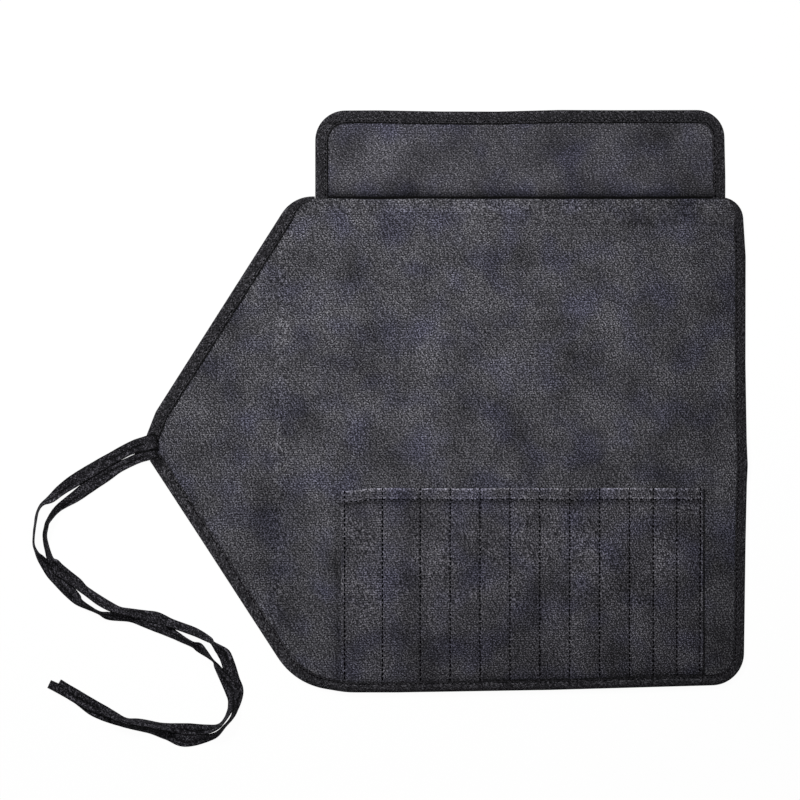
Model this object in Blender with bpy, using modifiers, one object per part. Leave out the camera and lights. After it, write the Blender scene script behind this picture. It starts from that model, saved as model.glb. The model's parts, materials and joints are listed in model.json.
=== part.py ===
# Brush roll lying open: a bound cloth body with twelve brush pockets, a bound flap
# along its upper edge and two ties sewn to its tip. Metres, +Z up, tip at -X, flap at +Y.
# The cloth bends along its seams, so body and flap are strips that turn at the seam lines.

import bpy
import bmesh
from math import atan2, ceil, cos, hypot, pi, radians, sin, tan
from mathutils import Vector

mm = 0.001

# Body outline, from the tip and from the lower edge
body_height = 395 * mm
tip_height = 28 * mm
tip_middle = 199 * mm
tip_skew = 2.4 * mm
tip_hem = 9.3 * mm
tie_height = 195 * mm
upper_slope_length = 115.7 * mm
lower_slope_length = 122.9 * mm
lower_left_drop = 1.5 * mm
lower_bow_length = 322.8 * mm
lower_bow_rise = 1.7 * mm
lower_edge_rise = 6.2 * mm
right_edge_bow = 2.6 * mm
bow_height = 180 * mm
upper_left_radius = 19 * mm
lower_left_radius = 66 * mm
lower_right_radius = 24 * mm
upper_right_radius = 18 * mm
arc_step = radians(12)

# Flap along the upper edge
flap_height = 69.5 * mm
flap_left = 135.6 * mm
flap_right_inset = 17.2 * mm
flap_radius = 22 * mm
flap_bow = 1.2 * mm

# Cloth and tape
cloth_thickness = 1.0 * mm
tape_thickness = 0.4 * mm
tape_width = 10 * mm
clearance = 0.3 * mm
cut_overrun = 3 * mm

# Pockets, from the left
wide_pocket = 30.2 * mm
medium_pocket = 23.9 * mm
narrow_pocket = 18.9 * mm
pocket_widths = [wide_pocket] * 2 + [medium_pocket] * 7 + [narrow_pocket] * 3
pockets_per_strip = [1] * 9 + [2, 1]
pocket_edge = 156.1 * mm
left_margin = 2.3 * mm
right_margin = 4 * mm
right_apron = 33.2 * mm
pocket_mouth = 161.5 * mm
pocket_cloth = 0.6 * mm
pocket_rise = 4.75 * mm
pocket_toe = 26 * mm
seam_land = 1 * mm
arch_power = 1.8
arch_columns = 10
arch_rows = 7

# Seam lines where the body bends, left of the pockets
tip_fold = 63.6 * mm
crease_fold = 109.2 * mm
largest_turn = radians(78)
turn_margin = radians(3)

# Ties
tie_diameter = 2.4 * mm
tie_points = 40
tie_samples = 24

# Length from the tip to the right edge
pocket_cloth_width = left_margin + sum(pocket_widths) + right_margin
body_length = pocket_edge + pocket_cloth_width + right_apron

# Heights of the layers
panel_low = tape_thickness + clearance
panel_high = panel_low + cloth_thickness
binding_high = panel_high + clearance + tape_thickness
pocket_low = panel_high + clearance
flap_rim = cloth_thickness + 2 * tape_thickness
fold_height = (panel_high + clearance + flap_rim) / 2
fold_slope = tan((largest_turn + turn_margin) / 2)

# Route of each tie: along, across and up from the tip's hem at the height of the ties
upper_tie_route = [
    (0.0, 5.3, 1.4), (-8.6, 3.2, 1.4), (-18.2, 0.8, 1.4), (-30.2, -4.9, 1.4),
    (-61.8, -23.5, 1.4), (-76.6, -33.4, 1.4), (-85.0, -40.7, 1.4), (-91.0, -44.3, 1.4),
    (-94.2, -48.2, 1.4), (-96.6, -55.5, 1.4), (-99.0, -74.5, 1.4), (-96.6, -83.3, 1.4),
    (-93.4, -88.3, 1.4), (-89.0, -94.3, 1.4), (-82.2, -102.5, 1.4), (-67.4, -118.3, 1.4),
    (-60.8, -124.5, 1.4), (-47.6, -131.1, 1.4), (-39.0, -134.4, 1.4), (-21.4, -136.1, 1.4),
    (-5.4, -141.5, 1.4), (11.2, -148.3, 1.4), (26.8, -156.7, 1.4), (33.6, -160.1, 1.4),
    (44.4, -169.7, 1.4), (47.6, -174.3, 1.4), (54.0, -185.1, 1.4), (58.6, -193.1, 1.4),
    (60.8, -200.7, 1.4), (57.2, -211.3, 1.4), (50.6, -221.3, 1.4), (40.2, -224.9, 1.4),
    (23.4, -225.2, 1.4), (4.0, -222.8, 1.4), (-14.2, -219.7, 1.4), (-25.4, -218.0, 1.8),
    (-38.2, -212.2, 3.2), (-54.2, -204.9, 4.3), (-71.8, -194.7, 4.3), (-80.0, -189.7, 4.3),
]
lower_tie_route = [
    (0.0, -3.5, 1.4), (-7.6, -6.3, 1.4), (-16.4, -8.9, 1.4), (-30.4, -15.3, 1.4),
    (-39.9, -21.0, 1.4), (-56.9, -32.5, 1.4), (-65.4, -38.8, 1.4), (-79.0, -48.3, 1.4),
    (-86.8, -58.1, 1.4), (-88.8, -63.5, 1.4), (-89.8, -72.5, 1.4), (-85.6, -88.3, 1.4),
    (-82.2, -92.7, 1.4), (-78.4, -97.9, 1.4), (-65.0, -107.9, 1.4), (-57.2, -114.5, 1.4),
    (-42.6, -124.5, 1.4), (-30.6, -129.9, 1.4), (-16.6, -132.7, 1.4), (-9.4, -134.4, 1.4),
    (-0.6, -136.3, 1.4), (13.4, -141.3, 1.4), (29.8, -147.3, 1.4), (41.6, -153.3, 1.4),
    (44.4, -156.3, 1.4), (51.2, -163.1, 1.4), (54.8, -168.3, 1.4), (60.2, -184.7, 1.4),
    (64.4, -195.9, 1.4), (61.2, -212.1, 1.4), (53.8, -222.1, 1.8), (44.2, -230.4, 1.4),
    (22.6, -234.3, 1.4), (7.4, -229.9, 1.4), (-6.2, -225.9, 1.4), (-22.2, -222.2, 1.4),
    (-38.0, -217.0, 1.4), (-51.6, -209.4, 1.4), (-66.4, -199.2, 1.4), (-86.6, -188.8, 1.4),
]


def clear_scene():
    for obj in list(bpy.data.objects):
        bpy.data.objects.remove(obj, do_unlink=True)


def new_collection(name):
    collection = bpy.data.collections.new(name)
    bpy.context.scene.collection.children.link(collection)
    return collection


def new_material(name, colour, roughness):
    material = bpy.data.materials.new(name)
    material.use_nodes = True
    shader = material.node_tree.nodes["Principled BSDF"]
    shader.inputs["Base Color"].default_value = (*colour, 1)
    shader.inputs["Roughness"].default_value = roughness
    shader.inputs["Metallic"].default_value = 0
    return material


def add_object(name, data, collection, material=None, parent=None, location=(0, 0, 0)):
    obj = bpy.data.objects.new(name, data)
    collection.objects.link(obj)
    obj.location = location
    if material:
        data.materials.clear()
        data.materials.append(material)
    obj.parent = parent
    return obj


# Outlines: corners are (x, y, radius), walked with the cloth on the left

def offset_corners(corners, inset, closed):
    """Move each side inwards by the inset and return the corners of the new outline."""
    count = len(corners)
    sides = []
    for i in range(count if closed else count - 1):
        ax, ay, _ = corners[i]
        bx, by, _ = corners[(i + 1) % count]
        length = hypot(bx - ax, by - ay)
        dx, dy = (bx - ax) / length, (by - ay) / length
        sides.append((ax - dy * inset, ay + dx * inset, dx, dy))
    moved = []
    for i in range(count):
        radius = corners[i][2]
        if not closed and i == 0:
            moved.append((sides[0][0], sides[0][1], radius))
            continue
        if not closed and i == count - 1:
            ax, ay, dx, dy = sides[-1]
            run = (corners[i][0] - ax) * dx + (corners[i][1] - ay) * dy
            moved.append((ax + dx * run, ay + dy * run, radius))
            continue
        ax, ay, adx, ady = sides[i - 1]
        bx, by, bdx, bdy = sides[i % len(sides)]
        cross = adx * bdy - ady * bdx
        run = ((bx - ax) * bdy - (by - ay) * bdx) / cross
        moved.append((ax + adx * run, ay + ady * run, max(radius - inset, 0)))
    return moved


def round_corners(corners, closed):
    """Replace each corner that has a radius by an arc and return the points."""
    count = len(corners)
    points = []
    for i, (x, y, radius) in enumerate(corners):
        at_end = not closed and i in (0, count - 1)
        if at_end or radius == 0:
            points.append((x, y))
            continue
        px, py, _ = corners[i - 1]
        nx, ny, _ = corners[(i + 1) % count]
        start = atan2(y - py, x - px)
        turn = (atan2(ny - y, nx - x) - start + pi) % (2 * pi) - pi
        reach = radius * tan(turn / 2)
        cx = x - reach * cos(start) - radius * sin(start)
        cy = y - reach * sin(start) + radius * cos(start)
        steps = max(2, ceil(turn / arc_step))
        for k in range(steps + 1):
            angle = start + turn * k / steps
            points.append((cx + radius * sin(angle), cy - radius * cos(angle)))
    return points


def edge_line(corners, inset, closed=False):
    return round_corners(offset_corners(corners, inset, closed), closed)


def end_run(points, at_start, level, axis):
    """End a run at a level on the given axis: points past it go, and the last side is cut
    or lengthened to it."""
    if at_start:
        points.reverse()
    heading = points[-1][axis] - points[-2][axis]
    while (points[-2][axis] - level) * heading >= 0:
        points.pop()
    end, inner = points[-1], points[-2]
    share = (level - end[axis]) / (end[axis] - inner[axis])
    points[-1] = tuple(e + (e - i) * share for e, i in zip(end, inner))
    if at_start:
        points.reverse()


half_length = body_length / 2
tip_high = tip_middle + tip_height / 2
tip_low = tip_middle - tip_height / 2
right_corner = body_length - right_edge_bow
flap_right = body_length - flap_right_inset

lower_run = [
    (tip_skew, tip_low, 0),
    (lower_slope_length, -lower_left_drop, lower_left_radius),
    (lower_bow_length, lower_bow_rise, 0),
    (right_corner, lower_edge_rise, lower_right_radius),
    (body_length, bow_height, 0),
    (right_corner, body_height, upper_right_radius),
    (flap_left, body_height, 0),
]
upper_run = [
    (flap_right, body_height, 0),
    (upper_slope_length, body_height, upper_left_radius),
    (0, tip_high, 0),
]
body_corners = lower_run[:-1] + upper_run[1:]

cloth_inset = tape_thickness + clearance
cloth_top = body_height - cloth_inset
flap_fold = cloth_top + clearance / 2


def flap_corners():
    top = body_height + flap_height
    middle = (flap_left + flap_right) / 2
    return [
        (flap_left, flap_fold + clearance / 2, 0),
        (flap_right, flap_fold + clearance / 2, 0),
        (flap_right, top, flap_radius),
        (middle, top - flap_bow, 0),
        (flap_left, top, flap_radius),
    ]


lowest = min(y for x, y in edge_line(body_corners, 0, closed=True))
highest = max(y for x, y in edge_line(flap_corners(), 0, closed=True))
middle_height = (lowest + highest) / 2


def placed(points):
    """Shift outline points so that the whole roll is centred on the origin."""
    return [(x - half_length, y - middle_height) for x, y in points]


def closed_mesh(name, mesh):
    """Turn the faces outwards and hand over the mesh."""
    bmesh.ops.recalc_face_normals(mesh, faces=mesh.faces)
    if mesh.calc_volume(signed=True) < 0:
        bmesh.ops.reverse_faces(mesh, faces=mesh.faces)
    data = bpy.data.meshes.new(name)
    mesh.to_mesh(data)
    mesh.free()
    return data


def plate_mesh(name, outline, low, high):
    """A flat plate: the outline as one face, extruded upwards."""
    mesh = bmesh.new()
    face = mesh.faces.new([mesh.verts.new((x, y, low)) for x, y in outline])
    top = bmesh.ops.extrude_face_region(mesh, geom=[face])["geom"]
    lifted = [item for item in top if isinstance(item, bmesh.types.BMVert)]
    bmesh.ops.translate(mesh, verts=lifted, vec=(0, 0, high - low))
    return closed_mesh(name, mesh)


def prism_mesh(name, profile, start, end):
    """A long prism along Y with a profile given in X and Z."""
    mesh = bmesh.new()
    face = mesh.faces.new([mesh.verts.new((x, start, z)) for x, z in profile])
    far = bmesh.ops.extrude_face_region(mesh, geom=[face])["geom"]
    moved = [item for item in far if isinstance(item, bmesh.types.BMVert)]
    bmesh.ops.translate(mesh, verts=moved, vec=(0, end - start, 0))
    return closed_mesh(name, mesh)


def add_cutter(name, data):
    obj = add_object(name, data, cutters)
    obj.hide_render = True
    obj.display_type = "WIRE"
    return obj


def add_boolean(obj, cutter, operation):
    modifier = obj.modifiers.new(cutter.name, "BOOLEAN")
    modifier.object = cutter
    modifier.operation = operation
    modifier.solver = "EXACT"


# Seam lines across the body, and the strips between them

def fold_lines():
    lines = [tip_fold, crease_fold, pocket_edge - seam_land]
    seam = pocket_edge + left_margin
    pocket = 0
    for held in pockets_per_strip:
        seam += sum(pocket_widths[pocket:pocket + held])
        pocket += held
        lines.append(seam)
    lines[-1] += right_margin + seam_land
    return lines


def strip_profile(left, right, bevel_left, bevel_right, above):
    """Cutter profile for one strip: its sides lean away from each seam line, above the
    fold for the body and below it for the flap, which comes to lie above when folded."""
    low, high = -cut_overrun, 2 * binding_high
    lean_low = 0 if above else fold_slope * (fold_height - low)
    lean_high = fold_slope * (high - fold_height) if above else 0
    half_gap = clearance / 2
    x0 = left - half_length + (half_gap if bevel_left else 0)
    x1 = right - half_length - (half_gap if bevel_right else 0)
    left_share = 1 if bevel_left else 0
    right_share = 1 if bevel_right else 0
    return [
        (x0 + lean_low * left_share, low),
        (x1 - lean_low * right_share, low),
        (x1, fold_height),
        (x1 - lean_high * right_share, high),
        (x0 + lean_high * left_share, high),
        (x0, fold_height),
    ]


def add_strip_cutter(name, left, right, bevel_left, bevel_right, above):
    profile = strip_profile(left, right, bevel_left, bevel_right, above)
    reach = middle_height + cut_overrun
    return add_cutter(name, prism_mesh(name, profile, -reach, reach))


def tape_band(name, corners, tip_at_start, tip_level, flap_level):
    """Plate and groove cutter of a binding tape folded around the cloth's edge, from the
    tip to the side of the flap."""
    wall, inner = tape_thickness, tape_width + cut_overrun
    outer_line = edge_line(corners, 0)
    lip_line = edge_line(corners, tape_width)
    groove_outer = edge_line(corners, wall)
    groove_inner = edge_line(corners, inner)
    over = cut_overrun if tip_at_start else -cut_overrun
    for line in (outer_line, lip_line):
        end_run(line, tip_at_start, tip_level, 1)
        end_run(line, not tip_at_start, flap_level, 0)
    for line in (groove_outer, groove_inner):
        end_run(line, tip_at_start, tip_level + over, 1)
        end_run(line, not tip_at_start, flap_level - over, 0)
    band = plate_mesh(name, placed(outer_line + lip_line[::-1]), 0, binding_high)
    groove = plate_mesh(
        name + "_groove",
        placed(groove_outer + groove_inner[::-1]),
        tape_thickness,
        binding_high - tape_thickness,
    )
    return band, add_cutter(name + "_groove", groove)


def flap_mesh():
    """The whole flap: thin cloth with a thick rim where the tape is folded over it."""
    corners = flap_corners()
    rim = plate_mesh("flap_rim", placed(edge_line(corners, 0, closed=True)), 0, flap_rim)
    x0, x1 = flap_left + tape_width, flap_right - tape_width
    foot = flap_fold - cut_overrun
    field = [(x0, foot, 0), (x1, foot, 0)] + offset_corners(corners, tape_width, True)[2:]
    outline = placed(round_corners(field, True))
    whole = add_object("flap_whole", rim, cutters)
    faces = (
        ("flap_upper_field", tape_thickness + cloth_thickness, flap_rim + cut_overrun),
        ("flap_lower_field", -cut_overrun, tape_thickness),
    )
    for name, low, high in faces:
        add_boolean(whole, add_cutter(name, plate_mesh(name, outline, low, high)), "DIFFERENCE")
    bpy.context.view_layer.update()
    evaluated = whole.evaluated_get(bpy.context.evaluated_depsgraph_get())
    data = bpy.data.meshes.new_from_object(evaluated)
    data.name = "flap"
    bpy.data.objects.remove(whole, do_unlink=True)
    return data


# Pockets

def arch_height(share):
    """Height of a pocket's front across its width, from 0 at a seam to 1 half way."""
    return 1 - abs(2 * share - 1) ** arch_power


def toe_height(depth):
    """How far the front stands off at a distance from the pocket's sewn foot."""
    share = min(depth / pocket_toe, 1)
    return share * share * (3 - 2 * share)


def pocket_foot(x):
    """Height of a pocket's sewn foot: just above the tape along the lower edge."""
    line = edge_line(lower_run, tape_width)
    for (ax, ay), (bx, by) in zip(line, line[1:]):
        if ax <= x <= bx:
            return ay + (by - ay) * (x - ax) / (bx - ax) + clearance
    raise ValueError("a pocket lies past the lower edge")


def pocket_mesh(name, left, right, flange_left, flange_right):
    """Inner surface of one pocket's front as a grid, arched between its two seams."""
    shares = [(1 - cos(pi * i / arch_columns)) / 2 for i in range(arch_columns + 1)]
    columns = [(left + (right - left) * s, arch_height(s)) for s in shares]
    if flange_left > 0:
        columns.insert(0, (left - flange_left, 0))
    if flange_right > 0:
        columns.append((right + flange_right, 0))
    middle = (left + right) / 2
    mesh = bmesh.new()
    bmesh.ops.create_grid(mesh, x_segments=len(columns) - 1, y_segments=arch_rows, size=0.5)
    mesh.verts.ensure_lookup_table()
    for vertex in mesh.verts:
        column = round((vertex.co.x + 0.5) * (len(columns) - 1))
        row = (vertex.co.y + 0.5) * arch_rows
        x, arch = columns[column]
        foot = pocket_foot(x)
        depth = pocket_toe * row / (arch_rows - 1)
        if round(row) == arch_rows:
            depth = pocket_mouth - foot
        rise = pocket_rise * arch * toe_height(depth)
        vertex.co = (x - middle, foot + depth - pocket_mouth, rise)
    bmesh.ops.recalc_face_normals(mesh, faces=mesh.faces)
    for face in mesh.faces:
        if face.normal.z < 0:
            face.normal_flip()
    data = bpy.data.meshes.new(name)
    mesh.to_mesh(data)
    mesh.free()
    return data, middle


def add_pocket(name, left, right, flange_left, flange_right, empty):
    data, middle = pocket_mesh(name, left, right, flange_left, flange_right)
    anchor = world_place(empty)
    place = Vector((middle - half_length, pocket_mouth - middle_height, pocket_low))
    obj = add_object(name, data, roll, pocket_canvas, empty, place - anchor)
    solidify = obj.modifiers.new("cloth", "SOLIDIFY")
    solidify.thickness = pocket_cloth
    solidify.offset = 1
    return obj


# Ties

def smooth_route(points, count):
    """Evenly spaced points on a smooth curve through the route's own points."""
    dense = []
    ends = [2 * points[0] - points[1]] + points + [2 * points[-1] - points[-2]]
    for i in range(len(points) - 1):
        p0, p1, p2, p3 = ends[i:i + 4]
        for k in range(tie_samples):
            t = k / tie_samples
            dense.append(0.5 * (
                2 * p1 + (p2 - p0) * t + (2 * p0 - 5 * p1 + 4 * p2 - p3) * t ** 2
                + (3 * p1 - p0 - 3 * p2 + p3) * t ** 3
            ))
    dense.append(points[-1])
    travelled = [0.0]
    for a, b in zip(dense, dense[1:]):
        travelled.append(travelled[-1] + (b - a).length)
    even = []
    k = 0
    for i in range(count):
        target = travelled[-1] * i / (count - 1)
        while k < len(dense) - 2 and travelled[k + 1] < target:
            k += 1
        span = travelled[k + 1] - travelled[k]
        even.append(dense[k].lerp(dense[k + 1], min((target - travelled[k]) / span, 1)))
    return even, travelled[-1]


def add_tie(name, route, parent):
    points = [Vector(point) * mm for point in route]
    even, length = smooth_route(points, tie_points)
    curve = bpy.data.curves.new(name, "CURVE")
    curve.dimensions = "3D"
    curve.bevel_depth = tie_diameter / 2
    curve.bevel_resolution = 2
    curve.use_fill_caps = True
    spline = curve.splines.new("POLY")
    spline.points.add(len(even) - 1)
    for point, place in zip(spline.points, even):
        point.co = (*place, 1)
    anchor = Vector((tip_hem - clearance - half_length, tie_height - middle_height, 0))
    print(name, "length", round(length / mm, 1), "mm")
    return add_object(name, curve, roll, tie_tape, parent, anchor - world_place(parent))


# Assembly

def add_empty(name, place, parent):
    obj = bpy.data.objects.new(name, None)
    roll.objects.link(obj)
    obj.empty_display_size = tape_width
    obj.parent = parent
    obj.location = place - world_place(parent)
    return obj


def world_place(obj):
    place = Vector()
    while obj:
        place += obj.location
        obj = obj.parent
    return place


def add_piece(name, data, material, empty, booleans):
    obj = add_object(name, data, roll, material, empty, -world_place(empty))
    for cutter, operation in booleans:
        add_boolean(obj, cutter, operation)
    return obj


def build():
    sheet = plate_mesh(
        "sheet", placed(edge_line(body_corners, cloth_inset, closed=True)), panel_low, panel_high
    )
    lower_band, lower_groove = tape_band(
        "lower_tape", lower_run, True, tip_low, flap_right + clearance
    )
    upper_band, upper_groove = tape_band(
        "upper_tape", upper_run, False, tip_high, flap_left - clearance
    )
    flap = flap_mesh()
    lines = fold_lines()
    edges = [tip_hem] + lines + [body_length + cut_overrun]
    last = len(edges) - 1
    first_flap = 3
    first_pocket_strip = 4
    empty = None
    pocket = 0
    seam = pocket_edge + left_margin
    for number in range(1, last + 1):
        left, right = edges[number - 1], edges[number]
        label = f"{number:02d}"
        place = Vector((left - half_length, 0, fold_height)) if number > 1 else Vector()
        empty = add_empty(f"strip_{label}", place, empty)
        turns = (number > 1, number < last)
        cutter = add_strip_cutter(f"cut_{label}", left, right, *turns, above=True)
        add_piece(f"panel_{label}", sheet, body_canvas, empty, [(cutter, "INTERSECT")])
        if number == 1:
            start = -cut_overrun
            cutter = add_strip_cutter("cut_tape_01", start, right, *turns, above=True)
        name = f"lower_binding_{label}" if number < last else "right_binding"
        steps = [(lower_groove, "DIFFERENCE"), (cutter, "INTERSECT")]
        add_piece(name, lower_band, binding_tape, empty, steps)
        if number <= first_flap:
            steps = [(upper_groove, "DIFFERENCE"), (cutter, "INTERSECT")]
            add_piece(f"upper_binding_{label}", upper_band, binding_tape, empty, steps)
        if number >= first_flap:
            fold = Vector(((left + right) / 2 - half_length, flap_fold - middle_height, fold_height))
            flap_empty = add_empty(f"flap_hinge_{label}", fold, empty)
            flap_turns = (number > first_flap, number < last)
            start = left if number > first_flap else flap_left - cut_overrun
            wedge = add_strip_cutter(f"cut_flap_{label}", start, right, *flap_turns, above=False)
            add_piece(f"flap_{label}", flap, flap_canvas, flap_empty, [(wedge, "INTERSECT")])
        if first_pocket_strip <= number < last:
            for _ in range(pockets_per_strip[number - first_pocket_strip]):
                width = pocket_widths[pocket]
                first, final = pocket == 0, pocket == len(pocket_widths) - 1
                pocket += 1
                add_pocket(
                    f"pocket_{pocket:02d}",
                    seam + (0 if first else seam_land),
                    seam + width - (0 if final else seam_land),
                    left_margin if first else 0,
                    right_margin if final else 0,
                    empty,
                )
                seam += width
    root = bpy.data.objects["strip_01"]
    add_tie("upper_tie", upper_tie_route, root)
    add_tie("lower_tie", lower_tie_route, root)


clear_scene()
roll = new_collection("brush_roll")
cutters = new_collection("cutters")
body_canvas = new_material("body_canvas", (0.062, 0.061, 0.071), 0.9)
pocket_canvas = new_material("pocket_canvas", (0.042, 0.041, 0.049), 0.9)
flap_canvas = new_material("flap_canvas", (0.058, 0.057, 0.067), 0.9)
binding_tape = new_material("binding_tape", (0.018, 0.017, 0.021), 0.85)
tie_tape = new_material("tie_tape", (0.016, 0.015, 0.019), 0.85)
build()
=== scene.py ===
import json
from math import acos, ceil, cos, hypot, pi, radians, sin, tan

import bmesh
import bpy
import numpy as np
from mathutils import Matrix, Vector, noise

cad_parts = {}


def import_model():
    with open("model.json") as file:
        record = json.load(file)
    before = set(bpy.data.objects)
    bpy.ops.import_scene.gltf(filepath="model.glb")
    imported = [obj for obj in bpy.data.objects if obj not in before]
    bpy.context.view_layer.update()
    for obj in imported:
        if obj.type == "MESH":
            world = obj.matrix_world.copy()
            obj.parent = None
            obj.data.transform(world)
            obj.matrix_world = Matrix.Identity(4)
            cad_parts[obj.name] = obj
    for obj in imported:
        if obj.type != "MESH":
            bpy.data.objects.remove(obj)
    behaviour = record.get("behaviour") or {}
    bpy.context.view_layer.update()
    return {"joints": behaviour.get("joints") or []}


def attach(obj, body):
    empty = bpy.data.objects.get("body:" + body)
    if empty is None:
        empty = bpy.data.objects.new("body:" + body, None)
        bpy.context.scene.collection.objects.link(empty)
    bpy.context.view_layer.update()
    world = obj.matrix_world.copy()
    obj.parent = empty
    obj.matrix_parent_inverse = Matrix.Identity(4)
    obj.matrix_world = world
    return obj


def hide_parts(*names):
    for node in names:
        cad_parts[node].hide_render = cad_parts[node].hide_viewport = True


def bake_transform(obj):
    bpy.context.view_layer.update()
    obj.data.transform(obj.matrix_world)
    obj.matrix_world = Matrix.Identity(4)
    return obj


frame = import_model()
mm = 0.001

# the roll's own measures in millimetres, from the tip (x) and the lower edge (y)
roll = {
    "length": 480,
    "height": 395,
    "foldLine": 394.45,      # height of the flap's fold line
    "tipHem": 3.5,           # where the cloth ends under the ties
    "flapSides": (135.0, 462.8),
    "flapTop": 464.5,
    "tape": 10.0,
    "seams": [158.4 + w for w in (0, 30.2, 60.4, 84.3, 108.2, 132.1, 156, 179.9, 203.8, 227.7,
                                  246.6, 265.5, 284.4)],
    "pocketSides": (155.7, 446.0),
    "mouth": 162.1,
    "pitch": 3.7,            # from stitch to stitch
}

hinges = sorted(j["pos_m"][0] / mm + roll["length"] / 2 for j in frame["joints"]
                if j["name"].startswith("roll"))
stripEdges = [0] + hinges + [roll["length"] + 4]
middles = [(a + b) / 2 for a, b in zip(stripEdges, stripEdges[1:])]     # one per strip
flapFold = next(j["pos_m"][1] for j in frame["joints"] if j["name"] == "flap_fold")
middle = roll["foldLine"] - flapFold / mm                     # height of the model's origin
print("frame loaded,", len(hinges), "fold lines")


def world(x, y, z):
    return ((x - roll["length"] / 2) * mm, (y - middle) * mm, z * mm)


# camera: straight above the roll, with a long lens as in the photograph
cameraSetup = {"centre": (202.8, 233.12), "height": 2500, "across": 640, "sensor": 36}


def addObject(name, data):
    obj = bpy.data.objects.new(name, data)
    bpy.context.scene.collection.objects.link(obj)
    return obj


def makeCamera(c):
    data = bpy.data.cameras.new("camera")
    data.sensor_width = c["sensor"]
    data.lens = c["sensor"] * c["height"] / c["across"]
    data.clip_end = 20
    camera = addObject("camera", data)
    camera.location = world(*c["centre"], c["height"])
    bpy.context.scene.camera = camera


makeCamera(cameraSetup)


def stripAt(x):
    # number of the strip that a place on the roll belongs to
    return 1 + sum(x > h for h in hinges)


def ripple(x, y, size, seed=0.0):
    return noise.noise(Vector((x / size, y / size, seed)))


def smooth(t):
    t = min(max(t, 0), 1)
    return t * t * (3 - 2 * t)


def rise(x, start, run):
    # 0 before the start, then smoothly up to 1
    return smooth((x - start) / run)


def fall(x, end, run):
    # smoothly down from 1 to 0, which it reaches at the end
    return smooth((end - x) / run)


def bell(x, centre, width):
    return np.exp(-((x - centre) / width) ** 2)


def line(shape, x):
    # a soft line: strength, place, width
    return shape[0] * bell(x, *shape[1:])


def band(shape, x):
    # a soft band that is full at first and ends: strength, end, run
    return shape[0] * fall(x, *shape[1:])


def roundedEdge(d, radius):
    # how much of a cloth's thickness is left at d from its rounded edge
    return max(1 - (1 - d / radius) ** 2, 0) ** 0.5 if d < radius else 1


# materials: every cloth mesh carries clothPlace, which is the place on the flat cloth in mm
# and, as a third value, how dark the painted shade is there; below zero it is a painted highlight
def newMaterial(name):
    material = bpy.data.materials.new(name)
    material.use_nodes = True
    tree = material.node_tree
    return material, tree, tree.nodes["Principled BSDF"]


def setSocket(tree, socket, value):
    if isinstance(value, bpy.types.NodeSocket):
        tree.links.new(value, socket)
    else:
        socket.default_value = value


def addNode(tree, kind, inputs=None, **settings):
    node = tree.nodes.new(kind)
    for key, value in settings.items():
        setattr(node, key, value)
    for key, value in (inputs or {}).items():
        setSocket(tree, node.inputs[key], value)
    return node


def vectorCalc(tree, how, a, b=(0, 0, 0)):
    return addNode(tree, "ShaderNodeVectorMath", {0: a, 1: b}, operation=how).outputs[0]


def calc(tree, how, a, b=None, clamp=False):
    inputs = {0: a} if b is None else {0: a, 1: b}
    return addNode(tree, "ShaderNodeMath", inputs, operation=how, use_clamp=clamp).outputs[0]


def times(tree, a, b, clamp=False):
    return calc(tree, "MULTIPLY", a, b, clamp)


def plus(tree, total, *parts):
    for part in parts:
        total = calc(tree, "ADD", total, part)
    return total


def mixColour(tree, share, a, b, how="MIX"):
    node = addNode(tree, "ShaderNodeMix", data_type="RGBA", blend_type=how)
    for number, value in ((0, share), (6, a), (7, b)):
        setSocket(tree, node.inputs[number], value)
    return node.outputs[2]


def darkened(tree, colour, shade):
    grey = addNode(tree, "ShaderNodeCombineColor", {0: shade, 1: shade, 2: shade}).outputs[0]
    return mixColour(tree, 1.0, colour, grey, "MULTIPLY")


def noiseTone(tree, vector, size, detail=2.0, roughness=0.5):
    return addNode(tree, "ShaderNodeTexNoise", {
        "Vector": vector, "Scale": 1 / size, "Detail": detail, "Roughness": roughness}).outputs[0]


def noiseAboutZero(tree, vector, size, detail, roughness):
    return calc(tree, "SUBTRACT", noiseTone(tree, vector, size, detail, roughness), 0.5)


cellLean = -0.42             # how much a cell of the weave leans away from the cells beside it


def grainTone(tree, place, scale, shift):
    # every cell of the weave has a tone of its own
    cell = vectorCalc(tree, "FLOOR", vectorCalc(tree, "MULTIPLY", place, (scale, scale, 0)))
    parts = []
    for right, up, share in ((0, 0, 1.0), (1, 0, cellLean), (0, 1, cellLean)):
        moved = vectorCalc(tree, "ADD", cell, (shift + right, shift + up, 0))
        grain = addNode(tree, "ShaderNodeTexWhiteNoise", {"Vector": moved}).outputs[0]
        parts.append(times(tree, calc(tree, "SUBTRACT", grain, 0.5), share))
    return plus(tree, *parts)


def clothTree(name):
    # a material with its shader, the flat place on the cloth, and the three values of clothPlace
    material, tree, shader = newMaterial(name)
    place = addNode(tree, "ShaderNodeAttribute", attribute_name="clothPlace").outputs["Vector"]
    split = addNode(tree, "ShaderNodeSeparateXYZ", {0: place}).outputs
    return material, tree, shader, vectorCalc(tree, "MULTIPLY", place, (1, 1, 0)), split


def ribTone(tree, place, spacing):
    return calc(tree, "SINE", times(tree, place, 2 * pi / spacing))


def toneOf(tree, total, look):
    return times(tree, calc(tree, "EXPONENT", times(tree, total, look["contrast"])), look["mean"], True)


def finishCloth(tree, shader, look, colour, tone, height, tint):
    tree.links.new(mixColour(tree, 1.0, colour, tint, "MULTIPLY"), shader.inputs["Base Color"])
    base, less = look["rough"]
    tree.links.new(plus(tree, times(tree, tone, -less), base), shader.inputs["Roughness"])
    bump = addNode(tree, "ShaderNodeBump", {
        "Strength": look["bumpStrength"], "Distance": look["bump"] * mm, "Height": height})
    tree.links.new(bump.outputs[0], shader.inputs["Normal"])
    shader.inputs["Specular IOR Level"].default_value = 0.08
    shader.inputs["Sheen Weight"].default_value = look["sheen"]


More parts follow.
